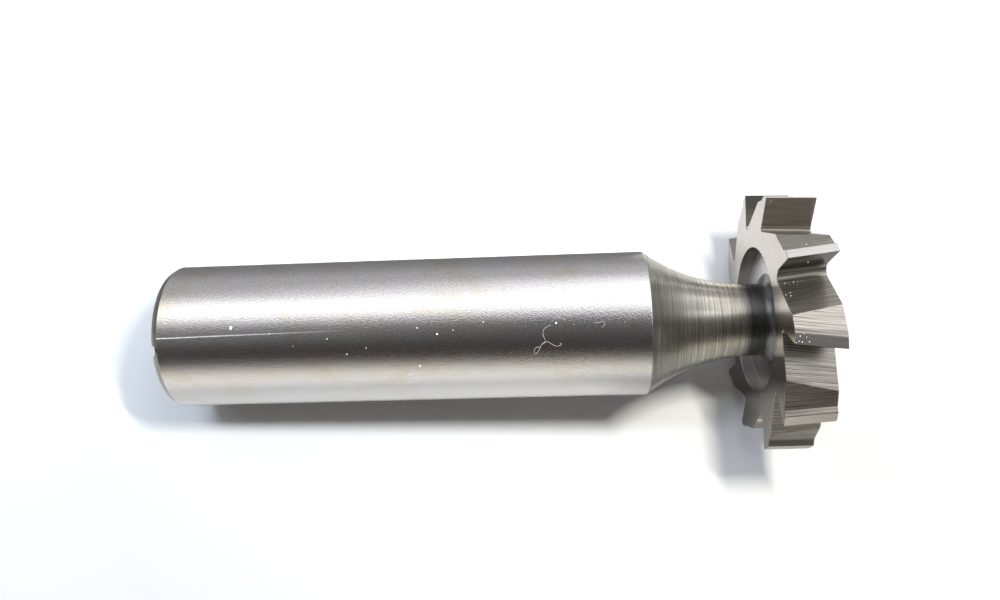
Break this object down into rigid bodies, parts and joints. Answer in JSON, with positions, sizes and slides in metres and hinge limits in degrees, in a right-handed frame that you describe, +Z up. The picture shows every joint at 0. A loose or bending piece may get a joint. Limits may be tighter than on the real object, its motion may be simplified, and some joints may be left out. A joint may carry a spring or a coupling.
{
  "type": "woodruff keyseat cutter",
  "caption": "Shank-type Woodruff keyseat cutter: straight round shank, swept neck and a narrow disc head with staggered milling teeth.",
  "frame": {"origin": "on the surface that the cutter lies on, under the centre of its bounding box", "axes": "+X along the cutter as it lies, from the tail of the shank to the head, +Z up; the tool's own axis tilts 4.8 degrees up towards the head, because the head is wider than the shank"},
  "size_m": [0.0568, 0.0226, 0.0218],
  "materials": {
    "high_speed_steel": "ground high-speed steel, bright on the shank and lands, satin turned neck, fine milling marks in the gullets"
  },
  "bodies": {
    "root": {"keyseat_cutter": "high_speed_steel"}
  },
  "joints": []
}
